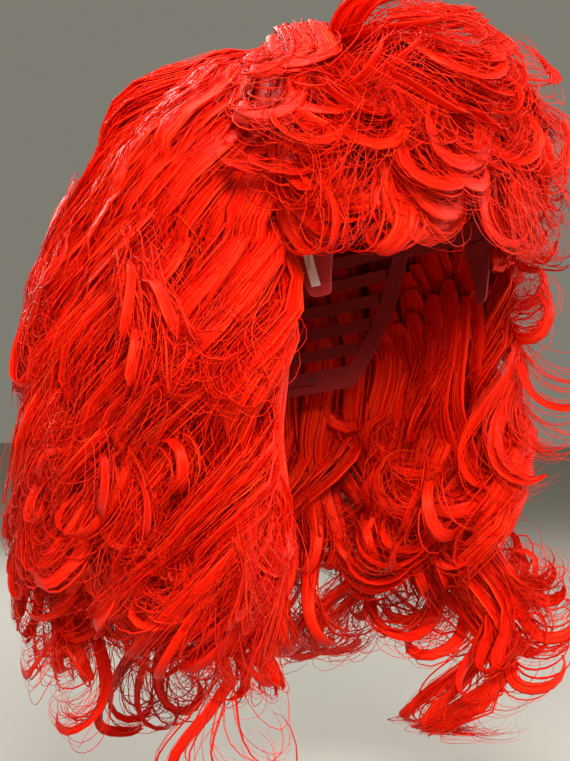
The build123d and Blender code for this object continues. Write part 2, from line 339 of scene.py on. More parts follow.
@dataclass(frozen=True)
class WovenCloth:
    """Plain woven tape or band cloth, its threads following the object's own axes, darker with random wear
    and with painted shade in the weave's dips.
    """

    name: str
    colour: Colour
    thread: float = 0.0011
    # share of the colour's brightness at its darkest, from random wear and painted shade in the weave's dips
    shade: float = 0.45
    level_weave: float = 0.5
    deep_weave: float = 0.35
    weave_contrast: float = 0.45
    wear_contrast: float = 0.7
    wear_scale: float = 90.0
    roughness: float = 0.82
    roughness_spread: float = 0.1
    relief_share: float = 0.25  # of one thread
    relief_strength: float = 0.7

    def build(self) -> bpy.types.Material:
        """Returns: the material."""
        t = ShaderTree(self.name)
        x, y, z = t.split(t.object_point())
        turns = TAU / self.thread
        level = (x * turns).sine() * (z * turns).sine()
        weave = level * self.level_weave + (y * turns).sine() * self.deep_weave
        worn = t.noise(t.object_point(), self.wear_scale, 4.0)
        # The colour mixes random wear with painted shade where the weave dips.
        factor = (weave * self.weave_contrast + 0.5 + (worn - 0.5) * self.wear_contrast).clamped()
        return t.surface({
            "Base Color": t.mix(factor, shaded(self.colour, self.shade), self.colour),
            "Roughness": self.roughness + self.roughness_spread * worn,
            "Normal": t.bump(weave, self.thread * self.relief_share, self.relief_strength),
        })


@dataclass(frozen=True)
class MeshNet:
    """Stretch net: thin cloth with rows of small holes, which are painted dark with painted shade."""

    colour: Colour = (0.34, 0.006, 0.005, 1.0)
    # painted shade: the near-black colour of the holes stands for the shade inside them
    hole: Colour = (0.05, 0.001, 0.001, 1.0)
    pitch: float = 0.0032
    hole_sharpness: float = 1.9
    hole_threshold: float = 0.45
    wear_scale: float = 60.0
    wear_shade: float = 0.6
    roughness: float = 0.8
    roughness_spread: float = 0.15
    relief: float = 0.0005
    relief_strength: float = 0.8

    def build(self) -> bpy.types.Material:
        """Returns: the material."""
        t = ShaderTree("stretch_net")
        x, y, z = t.split(t.object_point(CAP_TILT))
        turns = TAU / self.pitch
        lattice = (x * turns).sine() * ((y + z) * turns).sine()
        holes = (lattice.absolute() * self.hole_sharpness - self.hole_threshold).clamped()
        worn = t.noise(t.object_point(), self.wear_scale, 3.0)
        cloth = t.mix(worn, self.colour, shaded(self.colour, self.wear_shade))
        return t.surface({
            "Base Color": t.mix(holes, cloth, self.hole),
            "Roughness": self.roughness + self.roughness_spread * worn,
            "Normal": t.bump(1.0 - holes, self.relief, self.relief_strength),
        })


@dataclass(frozen=True)
class WeftStitching:
    """A sewn weft track: the folded fibre ends under close zigzag stitching."""

    fibre: Colour = (0.62, 0.004, 0.002, 1.0)
    thread: Colour = (0.20, 0.002, 0.002, 1.0)
    stitch: float = 0.0024
    zigzag_rate: float = 1.7
    zigzag_reach: float = 1.4
    line_sharpness: float = 2.2
    line_threshold: float = 0.6
    fray_scale: float = 900.0
    fray_shade: float = 0.45
    fray_relief: float = 0.5
    roughness: float = 0.55
    roughness_spread: float = 0.3
    relief: float = 0.0005
    relief_strength: float = 0.9

    def build(self) -> bpy.types.Material:
        """Returns: the material."""
        t = ShaderTree("weft_stitching")
        x, y, z = t.split(t.object_point(CAP_TILT))
        turns = TAU / self.stitch
        zigzag = ((x + y) * turns + (z * turns * self.zigzag_rate).sine() * self.zigzag_reach).sine()
        lines = (zigzag * self.line_sharpness - self.line_threshold).clamped()
        fray = t.noise(t.object_point(), self.fray_scale, 2.0)
        fibre = t.mix(fray, self.fibre, shaded(self.fibre, self.fray_shade))
        return t.surface({
            "Base Color": t.mix(lines, fibre, self.thread),
            "Roughness": self.roughness + self.roughness_spread * fray,
            "Normal": t.bump(lines + fray * self.fray_relief, self.relief, self.relief_strength),
        })


@dataclass(frozen=True)
class BrushedSteel:
    """The hook's steel, with fine rolling marks."""

    colour: Colour = (0.62, 0.62, 0.64, 1.0)
    mark: Colour = (0.45, 0.45, 0.47, 1.0)
    level_rate: float = 300.0
    upright_rate: float = 6000.0
    roughness: float = 0.28
    roughness_spread: float = 0.2
    relief: float = 0.00005
    relief_strength: float = 0.4

    def build(self) -> bpy.types.Material:
        """Returns: the material."""
        t = ShaderTree("brushed_steel")
        x, y, z = t.split(t.object_point())
        marks = t.noise(t.join(x * self.level_rate, y * self.level_rate, z * self.upright_rate), 1.0, 3.0)
        return t.surface({
            "Base Color": t.mix(marks, self.colour, self.mark), "Metallic": 1.0,
            "Roughness": self.roughness + self.roughness_spread * marks,
            "Normal": t.bump(marks, self.relief, self.relief_strength),
        })


@dataclass(frozen=True)
class MattePlastic:
    """The stay's milky plastic, with faint flow marks."""

    colour: Colour = (0.66, 0.60, 0.52, 1.0)
    flow_mark: Colour = (0.5, 0.44, 0.37, 1.0)
    flow_scale: float = 240.0
    roughness: float = 0.42
    roughness_spread: float = 0.2
    relief: float = 0.0001
    relief_strength: float = 0.4

    def build(self) -> bpy.types.Material:
        """Returns: the material."""
        t = ShaderTree("stay_plastic")
        flow = t.noise(t.object_point(), self.flow_scale, 4.0)
        return t.surface({
            "Base Color": t.mix(flow, self.colour, self.flow_mark),
            "Roughness": self.roughness + self.roughness_spread * flow,
            "Normal": t.bump(flow, self.relief, self.relief_strength),
        })


Finish = Union[HairFibre, WovenCloth, MeshNet, WeftStitching, BrushedSteel, MattePlastic]


# ---------------------------------------------------------------------------------------------
# Where the hair lies
# ---------------------------------------------------------------------------------------------
def smooth(value: Array) -> Array:
    """Returns: an S-curve from 0 at 0 to 1 at 1, level outside."""
    held = np.clip(value, 0.0, 1.0)
    return held * held * (3 - 2 * held)


def unit(vectors: Array) -> Array:
    """Returns: the vectors at length 1."""
    return vectors / np.maximum(np.linalg.norm(vectors, axis=-1, keepdims=True), 1e-12)


def read_off(places: Array, runs: Array, points: Array) -> Array:
    """Reads points off many paths.

    Args:
        places: Distances along each path at which to read it (paths, places).
        runs: Distance of each known point from its path's start (paths, known points).
        points: The known points (paths, known points, 3).

    Returns:
        The points read (paths, places, 3).
    """
    return np.stack([
        np.stack([np.interp(places[i], runs[i], points[i, :, k]) for k in range(3)], axis=-1)
        for i in range(len(points))
    ])


@dataclass(frozen=True)
class HeadSpace:
    """The spheroid of the cap's outside and the neck under it, round the hair's plumb axis."""

    half_width: float = 0.0812
    radius: float = 0.1032
    axis_y: float = 0.012
    neck_radius: float = 0.0855
    neck_depth: float = 0.060

    def polar(self, azimuth: Array, angle: Array) -> Array:
        """Measures out to the cap's outside from the middle of the hair's axis.

        Args:
            azimuth: Azimuths.
            angle: Angles down from the crown.

        Returns:
            Distances.
        """
        x = -np.sin(angle) * np.sin(azimuth)
        y = -np.sin(angle) * np.cos(azimuth)
        z = np.cos(angle)
        a = x * x / self.half_width**2 + (y * y + z * z) / self.radius**2
        b = 2 * self.axis_y * y / self.radius**2
        c = self.axis_y**2 / self.radius**2 - 1
        return (-b + np.sqrt(b * b - 4 * a * c)) / (2 * a)


class HairOutline:
    """The outer outline of some CAD hair nodes, round the hair's axis."""

    angle_stations = 19
    height_stations = 27
    ear_overlap = 0.004  # points this little under the ears still count as crown
    least_drop = 0.01  # nodes that reach less far down have one radius
    window = 0.75  # reach of each station, in station steps

    def __init__(self, nodes: Iterable[bpy.types.Object], head: HeadSpace) -> None:
        """Measures the nodes.

        Args:
            nodes: The CAD hair nodes to measure.
            head: The head space, for the hair's axis.
        """
        points = np.concatenate([np.array([v.co for v in node.data.vertices], float) for node in nodes])
        radius, height = np.hypot(points[:, 0], points[:, 1] - head.axis_y), points[:, 2]
        above = height > -self.ear_overlap
        self.angles = np.linspace(0.0, math.pi / 2, self.angle_stations)
        self.reaches = self._largest(
            np.arctan2(radius, height)[above], np.hypot(radius, height)[above], self.angles
        )
        if height.min() < -self.least_drop:
            self.heights = np.linspace(height.min(), 0.0, self.height_stations)
            self.radii = self._largest(height, radius, self.heights)
        else:
            self.heights, self.radii = np.array([0.0]), self.reaches[-1:]

    def _largest(self, keys: Array, values: Array, stations: Array) -> Array:
        """Finds the largest value near each station.

        Args:
            keys: Where each value was measured.
            values: The values.
            stations: Evenly spaced places.

        Returns:
            One value a station, filled in between the known ones.
        """
        near = (stations[1] - stations[0]) * self.window
        found = [values[np.abs(keys - station) <= near] for station in stations]
        known = np.array([v.max() if len(v) else np.nan for v in found])
        good = ~np.isnan(known)
        return np.interp(stations, stations[good], known[good])

    def reach(self, angle: Array) -> Array:
        """Returns: the outline's distance from the axis's middle at angles down from the crown."""
        return np.interp(angle, self.angles, self.reaches)

    def radius(self, height: Array) -> Array:
        """Returns: the outline's radius at heights below the ears."""
        return np.interp(height, self.heights, self.radii)


@dataclass
class Fibres:
    """Measures of many strands, one entry of each array per strand."""

    azimuth: Array
    root: Array  # where on the cap: 0 at the crown, 1 level with the ears, then 1 more per 100 mm down
    depth: Array  # 0 against the cap, 1 at the outer outline
    length: Array
    wave_phase: Array
    wave_length: Array
    wave_across: Array
    wave_outward: Array
    curl_length: Array
    curl_radius: Array
    curl_tilt: Array  # 0 curls across the surface, a quarter turn curls in towards the neck
    sway: Array  # how far the strand drifts round the head on its way down
    width: Array
    tone: Array
    spread: Array  # azimuth away from the middle of its lock

    @property
    def count(self) -> int:
        """Returns: how many strands there are."""
        return len(self.azimuth)


@dataclass
class HairField:
    """Lays strands between the cap and an outline: off the root, over the head, waving, then curling."""

    head: HeadSpace
    outline: HairOutline
    lift: float  # how far along its path a strand reaches its own depth, in root units
    face_edge: Optional[float]  # azimuth that the hair stays behind on both sides of the face
    samples: int = 90
    curl_steps: int = 44
    below_unit: float = 0.1  # height of a root unit below the ears
    least_straight: float = 0.01
    path_share: float = 1.35  # a path is drawn longer than its strand, then cut to length
    path_spare: float = 0.02
    root_lift: float = 0.08
    gather: float = 0.62  # share of its width that a lock loses towards its tip
    gather_delay: float = 0.1
    first_wave: float = 0.11  # the waves grow over this length
    full_wave: float = 0.26
    first_wave_share: float = 0.55
    edge_width: float = 0.14
    edge_wave: float = 0.07
    edge_wave_length: float = 0.12
    face_reach: float = 0.26
    face_fullness: float = 0.55
    fullness_width: float = 0.9
    most_past: float = 0.013
    floor_room: float = 0.006
    cap_gap: float = 0.0008
    cap_end: float = 0.07  # the cap holds the hair off down to this height below the ears
    cap_end_fade: float = 0.05
    curl_tightening: float = 1.8
    curl_gain: float = 0.5
    ringlet_rise: float = 0.12

    def _from_face(self, azimuth: Array) -> Array:
        """Returns: the angles away from the middle of the face, on either side."""
        return math.pi - np.abs(azimuth - math.pi)

    def _behind_face(self, azimuth: Array) -> Array:
        """Returns: the azimuths, those near the face's edge eased so that they stay behind it."""
        if self.face_edge is None:
            return azimuth
        past = self._from_face(azimuth) - self.face_edge - self.edge_width
        held = self.face_edge + self.edge_width * np.exp(np.minimum(past, 0.0) / self.edge_width)
        return np.where(past < 0, math.pi + np.sign(azimuth - math.pi) * (math.pi - held), azimuth)

    def _fullness(self, azimuth: Array) -> Union[Array, float]:
        """Returns: the share of its depth that hair keeps, less beside the face than at the back."""
        if self.face_edge is None:
            return 1.0
        back = smooth((self._from_face(azimuth) - self.face_edge) / self.fullness_width)
        return self.face_fullness + (1 - self.face_fullness) * back

    def _points(self, azimuth: Array, path: Array, depth: Array) -> Array:
        """Places points over the head and below it.

        Args:
            azimuth: Azimuths.
            path: Places down from the crown, in root units.
            depth: Depths from the cap, 0, to the outline, 1.

        Returns:
            The points, one more axis than the arguments.
        """
        angle = np.clip(path, 0.0, 1.0) * math.pi / 2
        inner = self.head.polar(azimuth, angle)
        reach = inner + depth * (self.outline.reach(angle) - inner)
        height = -self.below_unit * np.maximum(path - 1, 0.0)
        ear = self.head.polar(azimuth, np.full_like(angle, math.pi / 2))
        inside = ear + (self.head.neck_radius - ear) * smooth(-height / self.head.neck_depth)
        low_radius = inside + depth * (self.outline.radius(height) - inside)
        radius = np.where(path <= 1, reach * np.sin(angle), low_radius)
        z = np.where(path <= 1, reach * np.cos(angle), height)
        return self._round_axis(azimuth, radius, z)

    def _round_axis(self, azimuth: Array, radius: Array, height: Array) -> Array:
        """Returns: the points at azimuths, radii and heights round the hair's axis."""
        return np.stack([
            -np.sin(azimuth) * radius, self.head.axis_y - np.cos(azimuth) * radius, height
        ], axis=-1)

    def _outward(self, points: Array) -> Array:
        """Returns: the directions away from the head at points, level below the ears."""
        centre = np.zeros_like(points)
        centre[..., 1] = self.head.axis_y
        centre[..., 2] = np.minimum(points[..., 2], 0.0)
        return unit(points - centre)

    def lay(self, f: Fibres) -> tuple[Array, Array]:
        """Lays every strand.

        Args:
            f: The strands.

        Returns:
            Points along each strand (strands, points, 3), and the distance of each point from its root.
        """
        share = np.linspace(0.0, 1.0, self.samples)[None, :]
        straight = np.maximum(f.length - f.curl_length, self.least_straight)[:, None]
        path = f.root[:, None] + share * (straight * self.path_share + self.path_spare) / self.below_unit
        lifted = f.depth[:, None] * smooth((path - f.root[:, None]) / self.lift + self.root_lift)
        gather = 1.0 - self.gather * smooth(share * (1 + self.gather_delay) - self.gather_delay)
        azimuth = self._behind_face(
            f.azimuth[:, None] + f.spread[:, None] * gather + f.sway[:, None] * share
        )
        base = self._points(azimuth, path, lifted * self._fullness(azimuth))
        steps = np.linalg.norm(np.diff(base, axis=1), axis=2)
        run = np.concatenate([np.zeros((f.count, 1)), np.cumsum(steps, axis=1)], axis=1)
        even = share * straight
        base = read_off(even, run, base)
        outward = self._outward(base)
        base = self._waved(f, base, outward, even)
        points, run = self._curled(f, base, outward, even)
        return self._held(points), run

    def _waved(self, f: Fibres, base: Array, outward: Array, even: Array) -> Array:
        """Waves the strands across the surface and in and out.

        Args:
            f: The strands.
            base: Their points.
            outward: The direction away from the head at each point.
            even: Each point's distance from its root.

        Returns:
            The waved points.
        """
        across = unit(np.cross(unit(np.gradient(base, axis=1)), outward))
        phase = TAU * even / f.wave_length[:, None] + f.wave_phase[:, None]
        later = self.first_wave_share + (1 - self.first_wave_share) * smooth(even / self.full_wave)
        grow = smooth(even / self.first_wave) * later
        base = base + across * (np.sin(phase) * f.wave_across[:, None] * grow)[..., None]
        return base + outward * (np.cos(phase) * f.wave_outward[:, None] * grow)[..., None]

    def _curled(self, f: Fibres, base: Array, outward: Array, even: Array) -> tuple[Array, Array]:
        """Adds the ringlet at each strand's end.

        Args:
            f: The strands.
            base: Their waved points.
            outward: The direction away from the head at each point.
            even: Each point's distance from its root.

        Returns:
            The points with the ringlets' points, and the distance of each from its root.
        """
        stride = f.curl_length / self.curl_steps
        direction = unit(base[:, -1] - base[:, -3])
        last_outward = outward[:, -1]
        normal = unit(last_outward - direction * np.sum(last_outward * direction, axis=1, keepdims=True))
        across = np.cross(direction, normal)
        tilt = f.curl_tilt[:, None]
        axle = unit(normal * np.cos(tilt) + across * np.sin(tilt))
        points, runs, place = [base], [even], base[:, -1]
        for k in range(1, self.curl_steps + 1):
            share = k / self.curl_steps
            tight = smooth(np.full(f.count, share) * self.curl_tightening)
            turn = (stride / f.curl_radius * tight * (1 + self.curl_gain * share))[:, None]
            direction = (
                direction * np.cos(turn) + np.cross(axle, direction) * np.sin(turn)
                + axle * np.sum(axle * direction, axis=1, keepdims=True) * (1 - np.cos(turn))
            )
            place = place + (direction + axle * self.ringlet_rise) * stride[:, None]
            points.append(place[:, None, :])
            runs.append((even[:, -1] + stride * k)[:, None])
        return np.concatenate(points, axis=1), np.concatenate(runs, axis=1)

    @staticmethod
    def _eased(values: Array, limit: Union[Array, float], most: float) -> Array:
        """Returns: the values, those past the limit eased so that none is more than the most past it."""
        over = np.maximum(values - limit, 0.0)
        return np.where(over > 0, limit + most * (1 - np.exp(-over / most)), values)

    def _off_face(self, azimuth: Array, height: Array) -> Array:
        """Returns: the signed azimuths, held off a face whose edge waves with height."""
        if self.face_edge is None:
            return azimuth
        edge = self.face_edge + self.edge_wave * np.sin(height * TAU / self.edge_wave_length)
        free = np.abs(azimuth) - edge + self.face_reach
        short = np.minimum(free - self.face_reach, 0.0)
        held = edge - self.face_reach + self.face_reach * np.exp(short / self.face_reach)
        return np.where(free < self.face_reach, np.sign(azimuth) * held, azimuth)

    def _held(self, points: Array) -> Array:
        """Returns: the points off the face, outside the cap and hardly past the outline."""
        x, y, z = points[..., 0], points[..., 1] - self.head.axis_y, points[..., 2]
        radius = np.hypot(x, y)
        azimuth = self._off_face(np.arctan2(-x, -y), z)
        angle = np.clip(np.arctan2(radius, z), 0.0, math.pi / 2)
        reach = np.where(z > 0, np.hypot(radius, z), radius)
        outline = np.where(z > 0, self.outline.reach(angle), self.outline.radius(z))
        cap = self.head.polar(azimuth, angle) * smooth((z + self.cap_end) / self.cap_end_fade) + self.cap_gap
        scale = np.maximum(self._eased(reach, outline, self.most_past), cap) / np.maximum(reach, 1e-6)
        lowest = -self._eased(-z, -self.outline.heights[0] - self.floor_room, self.most_past)
        return self._round_axis(azimuth, radius * scale, np.where(z > 0, z * scale, lowest))


# ---------------------------------------------------------------------------------------------
# Strand meshes
# ---------------------------------------------------------------------------------------------
@dataclass(frozen=True)
class TubeStyle:
    """How strands become closed tubes."""

    sides: int = 3
    straight_rings: int = 15
    curl_rings: int = 12
    flatness: float = 1.0
    tone_step: float = 0.0012  # width of one side on the tone map
    taper: float = 0.35
    tip_taper: float = 0.75
    tip_share: float = 0.1
    root_width: float = 0.5
    root_share: float = 0.03
    frizz: float = 0.0009
    frizz_scales: tuple[float, ...] = (1.0, 2.3)
    frizz_turns: Limits = (3.0, 6.5)
    frizz_spread: float = 1.6
    frizz_growth: float = 2.5

    def width(self, share: Array) -> Array:
        """Returns: the share of its width that a strand keeps at shares of its length."""
        tip = 1 - self.tip_taper * smooth((share - (1 - self.tip_share)) / self.tip_share)
        root = self.root_width + (1 - self.root_width) * smooth(share / self.root_share)
        return (1 - self.taper * smooth(share)) * tip * root


FIBRE_TUBES = TubeStyle()
RIBBON_TUBES = TubeStyle(
    sides=4, straight_rings=16, curl_rings=12, frizz=0.0005, flatness=0.1, tone_step=0.03, taper=0.6,
)
LOCK_TUBES = TubeStyle(
    sides=8, straight_rings=18, curl_rings=13, frizz=0.0004, flatness=0.1, tone_step=0.045, taper=0.72,
)


@dataclass
class TubeMesh:
    """Mesh data of many closed tubes, with their place on the tone map."""

    vertices: Array
    quads: Array
    quad_map: Array
    caps: tuple[Array, Array]
    cap_maps: tuple[Array, Array]

    @classmethod
    def from_rings(cls, rings: Array, tone: Array, share: Array, tone_step: float) -> "TubeMesh":
        """Joins rings of corners into closed tubes.

        Args:
            rings: Corners (tubes, rings, sides, 3).
            tone: Each tube's place across the tone map.
            share: Each ring's place along its tube.
            tone_step: Width of one side on the tone map.

        Returns:
            The mesh data.
        """
        margin, cap_height, base_place = 0.01, 0.008, 0.001
        count, length, sides = rings.shape[:3]
        number = np.arange(count * length * sides).reshape(count, length, sides)
        after = np.roll(number, -1, axis=2)
        quads = np.stack([number[:, :-1], after[:, :-1], after[:, 1:], number[:, 1:]], axis=-1)
        left = tone[:, None, None] + tone_step * np.arange(sides)[None, None, :]
        left = np.broadcast_to(left, (count, length - 1, sides))
        along = margin + (1 - 2 * margin) * share
        low = np.broadcast_to(along[:, :-1, None], left.shape)
        high = np.broadcast_to(along[:, 1:, None], left.shape)
        right = left + tone_step
        quad_map = np.stack([
            np.stack([left, low], -1), np.stack([right, low], -1),
            np.stack([right, high], -1), np.stack([left, high], -1),
        ], axis=-2)
        turns = np.arange(sides) * TAU / sides
        circle = np.stack([0.5 + 0.5 * np.cos(turns), 0.5 + 0.5 * np.sin(turns)], axis=-1)
        circle = circle * np.array([tone_step * 2, cap_height])
        caps = number[:, 0], number[:, -1, ::-1]
        cap_maps = (
            circle[None] + np.stack([tone, np.full(count, base_place)], -1)[:, None],
            circle[None, ::-1] + np.stack([tone, np.full(count, 1 - margin)], -1)[:, None],
        )
        return cls(rings.reshape(-1, 3), quads.reshape(-1, 4), quad_map.reshape(-1, 4, 2), caps, cap_maps)


class TubeBuilder:
    """Builds closed tapered tubes along laid strands."""

    def __init__(self, style: TubeStyle, seed: int, axis_y: float) -> None:
        """Keeps the style.

        Args:
            style: The tubes' style.
            seed: Seed of the frizz.
            axis_y: Depth of the hair's axis.
        """
        self.style = style
        self.axis_y = axis_y
        self.random = np.random.default_rng(seed)

    def _rings(self, f: Fibres, points: Array, run: Array) -> tuple[Array, Array]:
        """Spaces rings along the strands, more closely in the ringlets, and frizzes them.

        Args:
            f: The strands.
            points: Their laid points.
            run: The distance of each point from its root.

        Returns:
            The rings' middles, and their shares of the strand's length.
        """
        style = self.style
        straight, total = (f.length - f.curl_length)[:, None], run[:, -1:]
        first = np.linspace(0, 1, style.straight_rings)[None, :-1] * straight
        rest = straight + np.linspace(0, 1, style.curl_rings + 1)[None, :] * (total - straight)
        at = np.concatenate([first, rest], axis=1)
        rings, share = read_off(at, run, points), at / total
        growth = smooth(share * style.frizz_growth)[..., None]
        for scale in style.frizz_scales:
            phase = self.random.uniform(0, TAU, (f.count, 1, 3))
            turns = self.random.uniform(*style.frizz_turns, (f.count, 1, 3)) * scale
            spread = self.random.gamma(style.frizz_spread, style.frizz / style.frizz_spread, (f.count, 1, 1))
            rings = rings + np.sin(share[..., None] * turns * TAU / 2 + phase) * (spread / scale) * growth
        return rings, share

    def build(self, f: Fibres, points: Array, run: Array) -> TubeMesh:
        """Builds the tubes.

        Args:
            f: The strands.
            points: Their laid points.
            run: The distance of each point from its root.

        Returns:
            The tubes' mesh data.
        """
        style = self.style
        rings, share = self._rings(f, points, run)
        along = unit(np.gradient(rings, axis=1))
        side = np.empty_like(rings)
        side[:, 0] = unit(np.cross(along[:, 0], rings[:, 0] - np.array([0.0, self.axis_y, 0.0])))
        for k in range(1, rings.shape[1]):
            turned = along[:, k] * np.sum(side[:, k - 1] * along[:, k], axis=1, keepdims=True)
            side[:, k] = unit(side[:, k - 1] - turned)
        other = np.cross(along, side)
        radius = (f.width[:, None] / 2 * style.width(share))[..., None]
        turns = np.arange(style.sides) * TAU / style.sides
        corners = [
            rings + (side * math.cos(a) + other * (math.sin(a) * style.flatness)) * radius for a in turns
        ]
        return TubeMesh.from_rings(np.stack(corners, axis=2), f.tone, share, style.tone_step)


def join_tubes(name: str, parts: Sequence[TubeMesh], finish: bpy.types.Material) -> bpy.types.Object:
    """Makes one object of several sets of tubes.

    Args:
        name: The object's name.
        parts: The sets of tubes.
        finish: The object's material.

    Returns:
        The object.
    """
    vertices, corners, sizes, maps, start = [], [], [], [], 0
    for part in parts:
        vertices.append(part.vertices)
        for faces, face_map in [(part.quads, part.quad_map), *zip(part.caps, part.cap_maps)]:
            corners.append((faces + start).ravel())
            sizes.append(np.full(len(faces), faces.shape[1]))
            maps.append(face_map.reshape(-1, 2))
        start += len(part.vertices)
    vertices, corners = np.concatenate(vertices), np.concatenate(corners)
    sizes, maps = np.concatenate(sizes), np.concatenate(maps)
    mesh = bpy.data.meshes.new(name)
    mesh.vertices.add(len(vertices))
    mesh.vertices.foreach_set("co", vertices.astype(np.float32).ravel())
    mesh.loops.add(len(corners))
    mesh.loops.foreach_set("vertex_index", corners.astype(np.int32))
    mesh.polygons.add(len(sizes))
    mesh.polygons.foreach_set("loop_start", (np.cumsum(sizes) - sizes).astype(np.int32))
    mesh.update(calc_edges=True)
    mesh.polygons.foreach_set("use_smooth", np.ones(len(sizes), bool))
    mesh.uv_layers.new(name=TONE_MAP).data.foreach_set("uv", maps.astype(np.float32).ravel())
    mesh.materials.append(finish)
    mesh.update()
    mesh.validate()
    made = bpy.data.objects.new(name, mesh)
    bpy.context.scene.collection.objects.link(made)
    strands, triangles = sum(len(part.caps[0]) for part in parts), int((sizes - 2).sum())
    log.info("%s: %d strands, %d triangles", name, strands, triangles)
    return made


# ---------------------------------------------------------------------------------------------
# Growing locks
# ---------------------------------------------------------------------------------------------
@dataclass(frozen=True)
class LockStyle:
    """One kind of lock, with its numbers of strands and the least and most of each measure."""

    bundles: int
    locks: int
    fibres: int
    roots: Limits
    depths: Limits
    lengths: Limits
    wave_length: Limits = (0.092, 0.122)
    wave_across: Limits = (0.017, 0.026)
    wave_outward: Limits = (0.011, 0.018)
    curl_length: Limits = (0.07, 0.12)
    curl_radius: Limits = (0.014, 0.024)
    curl_lean: Limits = (0.2, 1.5)
    outward_share: float = 0.5  # of the bundles, those that curl away from the neck
    fibre_width: Limits = (0.00045, 0.0008)
    ribbons: int = 12
    ribbon_width: Limits = (0.0016, 0.0034)
    lock_width: float = 0.013
    bundle_width: float = 0.034


@dataclass(frozen=True)
class Jitter:
    """How far the members of one group differ, in each measure or in the share of it."""

    depth: float
    length: float  # share
    phase: float
    sway: float
    shape: float  # share of the waves and the curl


LOCK_JITTER = Jitter(0.08, 0.12, 0.20, 0.04, 0.14)
FIBRE_JITTER = Jitter(0.05, 0.05, 0.07, 0.012, 0.05)
RIBBON_JITTER = Jitter(0.03, 0.04, 0.05, 0.008, 0.04)


